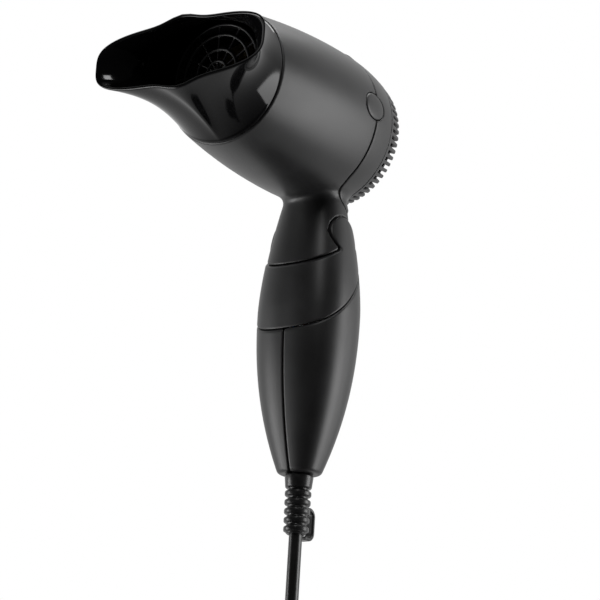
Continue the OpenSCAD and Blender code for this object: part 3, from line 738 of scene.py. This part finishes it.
# ---- outlet cage: rings and spokes ahead of the joint ----
CAGE_RINGS = (5.2, 10.6, 17.4)
CAGE_BAR_R = 0.72
CAGE_SPOKES = 12
CAGE_Y = low("outlet_grille")[1]
CAGE_R = FRONT_R - WALL - 6.1
CAGE_WALL = 1.2
HUB_R = 1.6
SPOKE_R = 0.5
SLEEVE_END = 10.0           # the cage's sleeve and flange reach this far into the barrel
FLANGE_AT = 11.8


def cage_field(x, y, z):
    """Rings, spokes and hub of round bars on a short sleeve with a flange."""
    radius = np.sqrt(x * x + (z - AXIS_Z) ** 2)
    plane = CAGE_Y + 0.8 + 0 * radius
    bars = [np.sqrt((radius - r) ** 2 + (y - plane) ** 2) - CAGE_BAR_R for r in CAGE_RINGS]
    bars.append(np.sqrt(np.maximum(radius - HUB_R, 0) ** 2 + (y - plane) ** 2) - CAGE_BAR_R)
    pitch = 2 * np.pi / CAGE_SPOKES
    angle = np.arctan2(z - AXIS_Z, x) + 0 * y
    off = np.abs((angle / pitch + 0.5) % 1 - 0.5) * pitch * radius
    spoke = np.sqrt(off ** 2 + (y - plane - 0.3) ** 2) - SPOKE_R
    bars.append(np.maximum(spoke, radius - CAGE_R + 0.5))
    sleeve = soft_max(np.abs(radius - CAGE_R + CAGE_WALL / 2) - CAGE_WALL / 2, CAGE_Y - y, 0.6)
    bars.append(np.maximum(sleeve, y + FRONT - SLEEVE_END))
    across = np.maximum(radius - FRONT_R + WALL + 0.1, CAGE_R - CAGE_WALL - radius)
    flange = np.maximum(np.abs(y + FRONT - FLANGE_AT) - 1, across)
    bars.append(flange)
    field = bars[0]
    for bar in bars[1:]:
        field = soft_min(field, bar, 0.4)
    return field


net_object("outlet_cage", cage_field, (-30, CAGE_Y - 1, AXIS_Z - 30), (30, -FRONT + 14, AXIS_Z + 30),
           0.4, "head", GRILLE, ["outlet_grille"])


# ---- nozzle ----
MOUTH_W = high("concentrator")[0] - low("concentrator")[0]
MOUTH_BULGE = 3.2
BULGE_W = 10.0
MOUTH_H = 27.8
MOUTH_SQUARE = 3.4
WIDTH_POWER = 3.4           # the nozzle widens late and flattens early on its way to the mouth
HEIGHT_POWER = 0.85
NOZZLE_Y = -FRONT - 0.3
MOUTH_Y = low("concentrator")[1]
NOZZLE_WALL = 1.6
NOZZLE_SIDES = 288
RIM = 0.8                   # radius of the mouth's rounded rim
JOINT_ROUND = 0.7           # rounding where the nozzle meets the barrel
SPIGOT_WALL = 1.8
OUTER_STEPS = 60
INNER_STEPS = 40
ROUND_STEPS = 6


def signed_power(v, e):
    return np.sign(v) * np.abs(v) ** e


def nozzle_ring(s, inset, y):
    """Outline at share s of the way from the round joint to the mouth."""
    t = np.linspace(0, 2 * np.pi, NOZZLE_SIDES, endpoint=False)
    mx = (MOUTH_W / 2 - inset) * signed_power(np.cos(t), 2 / MOUTH_SQUARE)
    mz = (MOUTH_H / 2 - inset) * signed_power(np.sin(t), 2 / MOUTH_SQUARE)
    mz = mz + np.sin(t) * MOUTH_BULGE * np.exp(-(mx / BULGE_W) ** 2)
    r = FRONT_R - 0.3 - inset
    wide = s ** WIDTH_POWER
    flat = s ** HEIGHT_POWER
    x = r * np.cos(t) * (1 - wide) + mx * wide
    z = r * np.sin(t) * (1 - flat) + mz * flat
    return np.stack([x, np.full_like(x, y), AXIS_Z + z], 1)


def nozzle_y(s):
    return NOZZLE_Y + s * (MOUTH_Y - NOZZLE_Y)


def add_nozzle():
    """Outside from the spigot to the rim, then back along the inside."""
    rim = RIM
    length = NOZZLE_Y - MOUTH_Y
    rings = []
    spigot = low("nozzle_snap_ring")[0] * -1 - 1
    spigot_back = high("concentrator")[1]

    def circle(r, y):
        t = np.linspace(0, 2 * np.pi, NOZZLE_SIDES, endpoint=False)
        return np.stack([r * np.cos(t), np.full_like(t, y), AXIS_Z + r * np.sin(t)], 1)

    bore = spigot - SPIGOT_WALL
    rings.append(circle(spigot, spigot_back))
    rings.append(circle(spigot, -FRONT + 0.2))
    for turn in range(ROUND_STEPS + 1):
        a = turn / ROUND_STEPS * math.pi / 2
        inset = JOINT_ROUND * (1 - math.sin(a))
        rings.append(nozzle_ring(0, inset, NOZZLE_Y + 0.2 - JOINT_ROUND * (1 - math.cos(a))))
    for i in range(1, OUTER_STEPS):
        s = i / OUTER_STEPS * (1 - rim / length)
        if nozzle_y(s) < NOZZLE_Y - 0.8:
            rings.append(nozzle_ring(s, 0, nozzle_y(s)))
    for turn in range(2 * ROUND_STEPS + 1):
        a = turn / (2 * ROUND_STEPS) * math.pi
        s = 1 - rim / length + rim / length * math.sin(a)
        rings.append(nozzle_ring(min(s, 1), rim * (1 - math.cos(a)), nozzle_y(s)))
    for i in range(INNER_STEPS):
        s = (1 - rim / length) * (1 - (i + 1) / INNER_STEPS)
        if s * length > 2:
            rings.append(nozzle_ring(s, NOZZLE_WALL, nozzle_y(s)))
    rings.append(circle(bore, NOZZLE_Y - 1.2))
    rings.append(circle(bore, spigot_back))
    points = np.concatenate(rings)
    faces = grid_faces(len(rings), NOZZLE_SIDES, closed_rows=True)
    mesh = mesh_from("nozzle", points, faces)
    make_object("nozzle", mesh, "nozzle", GLOSS, ["concentrator"])


add_nozzle()


# ---- strain relief ----
def lathe(name, profile, sides, body, material, nodes):
    """Body of revolution about the grip's axis; the profile is (radius, height) pairs."""
    t = np.linspace(0, 2 * np.pi, sides, endpoint=False)
    rings = [np.stack([r * np.cos(t), r * np.sin(t), np.full_like(t, z)], 1) for r, z in profile]
    faces = grid_faces(len(rings), sides, closed_rows=True)
    mesh = mesh_from(name, np.concatenate(rings), faces)
    return make_object(name, mesh, body, material, nodes)


RELIEF_LOW = low("strain_relief")[2]
RELIEF_COLLAR_H = 6.4
RELIEF_PITCH = 4.0
RELIEF_SIDES = 64
RIB_R = 5.9
COLLAR_R = 6.4
RELIEF_NECK_R = 4.5


def add_relief():
    """Rubber sleeve around the cord: rings below a collar that sits in the grip."""
    bore = CORD_D / 2 + 0.02
    neck = RELIEF_NECK_R
    profile = [(bore, RELIEF_LOW), (neck - 0.5, RELIEF_LOW), (neck, RELIEF_LOW + 0.5)]
    base = -GRIP_DROP - RELIEF_COLLAR_H
    ribs = int((base - RELIEF_LOW) / RELIEF_PITCH)
    for i in reversed(range(ribs)):
        z = base - RELIEF_PITCH * (i + 1) + 0.4
        h = RELIEF_PITCH * 0.6
        r = RIB_R - 0.06 * i
        profile += [
            (neck, z - 0.3), (r - 0.5, z), (r - 0.12, z + 0.3), (r, z + 0.7),
            (r, z + h - 0.7), (r - 0.12, z + h - 0.3), (r - 0.5, z + h), (neck, z + h + 0.3),
        ]
    collar = COLLAR_R
    top = -GRIP_DROP
    profile += [
        (neck, base - 0.1), (collar - 1.3, base), (collar - 0.8, base + 0.15),
        (collar - 0.5, base + 0.6), (collar, top - 1.2), (collar - 0.15, top - 0.6),
        (collar - 0.6, top - 0.3), (neck, top - 0.2), (neck, top + 8), (bore, top + 8),
    ]
    lathe("ribbed_relief", profile, RELIEF_SIDES, "handle", RELIEF, ["strain_relief"])


add_relief()


LOOP_W = 4.6
LOOP_STRAP = 1.7
LOOP_ROUND = 3.9
LOOP_START = 4.7            # distance of the strap's ends from the cord's axis, inside the ribs


def loop_field(x, y, z):
    """Rounded strap: a rounded rectangle seen from the side, joined to the relief's ribs."""
    lowest = low("hang_loop")
    highest = high("hang_loop")
    middle = (lowest[2] + highest[2]) / 2
    half = (highest[2] - lowest[2]) / 2
    dy = np.maximum(y - highest[1] + LOOP_ROUND, 0)
    dz = np.maximum(np.abs(z - middle) - half + LOOP_ROUND, 0)
    out = np.sqrt(dy * dy + dz * dz) - LOOP_ROUND + LOOP_STRAP / 2
    across = np.sqrt(np.maximum(np.abs(x) - LOOP_W / 2 + LOOP_STRAP / 2, 0) ** 2 + out * out)
    return np.maximum(across - LOOP_STRAP / 2, LOOP_START - np.sqrt(x * x + y * y) + 0 * z)


net_object("rounded_loop", loop_field,
           (-4, 2, low("hang_loop")[2] - 1), (4, high("hang_loop")[1] + 1, high("hang_loop")[2] + 1),
           0.3, "handle", RELIEF, ["hang_loop"])


# ---- studio ----
def add_area(name, place, target, size, power, colour=(1, 1, 1)):
    data = bpy.data.lights.new(name, "AREA")
    data.shape = "RECTANGLE"
    data.size = size[0]
    data.size_y = size[1]
    data.energy = power
    data.color = colour
    light = bpy.data.objects.new(name, data)
    bpy.context.scene.collection.objects.link(light)
    light.location = place
    aim = Vector(target) - Vector(place)
    light.rotation_euler = aim.to_track_quat("-Z", "Y").to_euler()


# name, place and size in metres, and power in watts
LIGHTS = [
    ("strip_left", (-1.0, -0.75, -0.35), (0.35, 1.1), 11),
    ("strip_right", (0.95, 0.6, -0.1), (0.6, 1.2), 12),
    ("high_front", (0.5, -0.9, 0.9), (0.15, 0.4), 3),
    ("top", (0.2, 0.2, 1.2), (0.9, 0.6), 8),
]


WORLD_FILL = (0.03, 0.9)    # strength of the fill from the photo's side and from the far side
FILL_RANGE = (-0.35, 0.75)
MIDDLE = (0, -0.02, 0.04)   # the point that the lights aim at
FLOOR_HALF = 0.45
FLOOR_DROP = 0.25           # metres from the part's lowest point to the floor


def add_studio():
    """White behind the part, a soft fill that grows towards the far side, and area lights."""
    world = bpy.data.worlds.new("studio")
    bpy.context.scene.world = world
    world.use_nodes = True
    tree = world.node_tree
    tree.nodes.clear()
    output = tree.nodes.new("ShaderNodeOutputWorld")
    seen = tree.nodes.new("ShaderNodeBackground")
    seen.inputs["Color"].default_value = (1, 1, 1, 1)
    seen.inputs["Strength"].default_value = 1.0
    fill = tree.nodes.new("ShaderNodeBackground")
    fill.inputs["Color"].default_value = (1, 1, 1, 1)
    coords = tree.nodes.new("ShaderNodeTexCoord")
    along = tree.nodes.new("ShaderNodeVectorMath")
    along.operation = "DOT_PRODUCT"
    along.inputs[1].default_value = (-math.sin(AZIMUTH), math.cos(AZIMUTH), 0.1)
    tree.links.new(coords.outputs["Generated"], along.inputs[0])
    bright = tree.nodes.new("ShaderNodeMapRange")
    bright.interpolation_type = "SMOOTHSTEP"
    bright.inputs["From Min"].default_value = FILL_RANGE[0]
    bright.inputs["From Max"].default_value = FILL_RANGE[1]
    bright.inputs["To Min"].default_value = WORLD_FILL[0]
    bright.inputs["To Max"].default_value = WORLD_FILL[1]
    tree.links.new(along.outputs["Value"], bright.inputs["Value"])
    tree.links.new(bright.outputs["Result"], fill.inputs["Strength"])
    path = tree.nodes.new("ShaderNodeLightPath")
    mix = tree.nodes.new("ShaderNodeMixShader")
    tree.links.new(path.outputs["Is Camera Ray"], mix.inputs["Fac"])
    tree.links.new(fill.outputs["Background"], mix.inputs[1])
    tree.links.new(seen.outputs["Background"], mix.inputs[2])
    tree.links.new(mix.outputs["Shader"], output.inputs["Surface"])
    bpy.context.scene.view_settings.view_transform = "Standard"
    for name, place, size, power in LIGHTS:
        add_area(name, place, MIDDLE, size, power)


def add_floor():
    size = FLOOR_HALF
    z = cad_box[0][2] - FLOOR_DROP
    mesh = bpy.data.meshes.new("floor")
    corners = [(-size, -size, z), (size, -size, z), (size, size, z), (-size, size, z)]
    mesh.from_pydata(corners, [], [(0, 1, 2, 3)])
    floor = bpy.data.objects.new("floor", mesh)
    bpy.context.scene.collection.objects.link(floor)
    mesh.materials.append(moulded("pale_floor", (0.82, 0.82, 0.82), 0.7, tint=0.02))
    floor.visible_glossy = False


add_studio()
add_floor()
